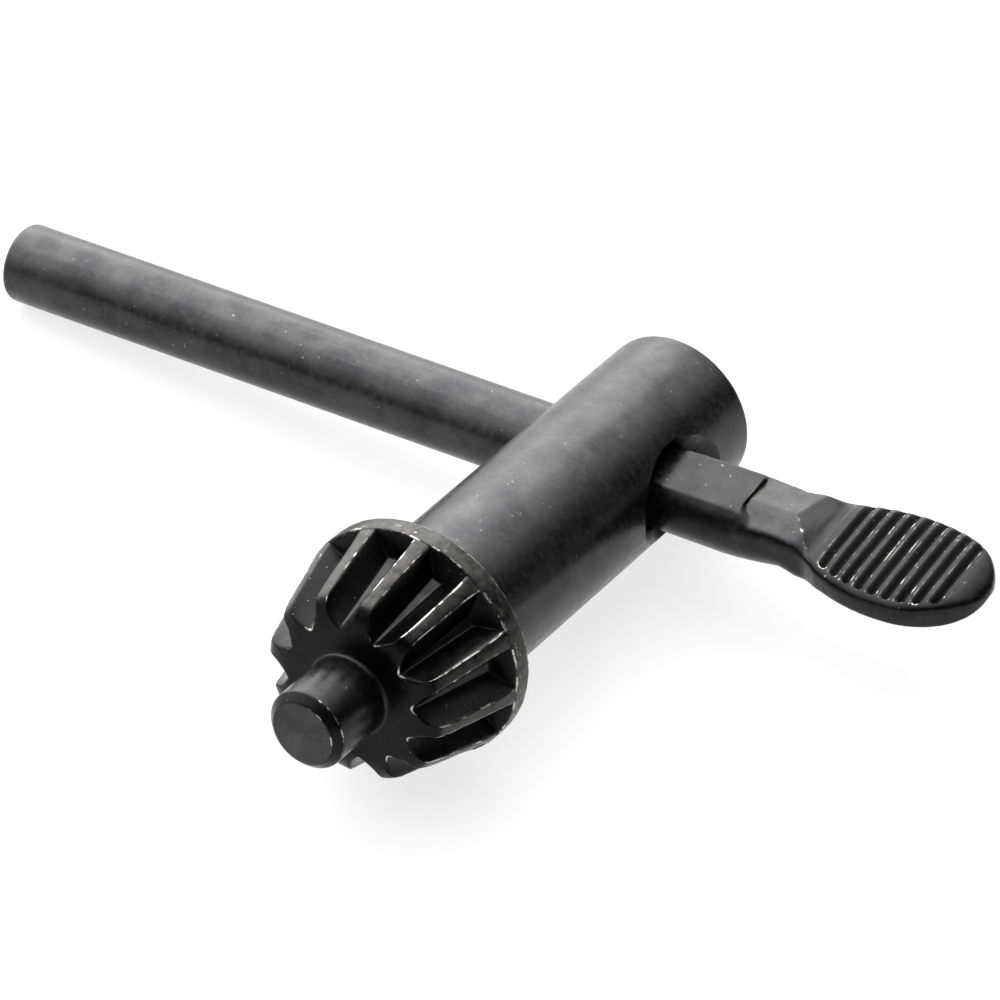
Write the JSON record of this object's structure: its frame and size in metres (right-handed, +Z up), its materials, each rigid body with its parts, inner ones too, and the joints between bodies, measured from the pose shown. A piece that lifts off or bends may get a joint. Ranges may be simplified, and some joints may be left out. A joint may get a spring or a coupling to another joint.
{
  "type": "drill chuck key",
  "caption": "T-shaped chuck key: a pilot and bevel-toothed head on a round shank, crossed by a round bar with a ridged oval thumb paddle.",
  "frame": {"origin": "centre of the pilot's flat end", "axes": "-Y out of the pilot's end, along the body's axis; +X along the cross handle towards its paddle; +Z up, the side that the handle's flat pad is on"},
  "size_m": [0.1099, 0.0636, 0.0234],
  "materials": {
    "key_body": "black oxide on machined and forged steel, satin, worn bright on the tooth edges",
    "t_handle": "black oxide on drawn bar with a forged, ridged paddle, satin, worn on the ridges"
  },
  "bodies": {
    "root": {"key_body": "key_body", "t_handle": "t_handle"}
  },
  "joints": []
}
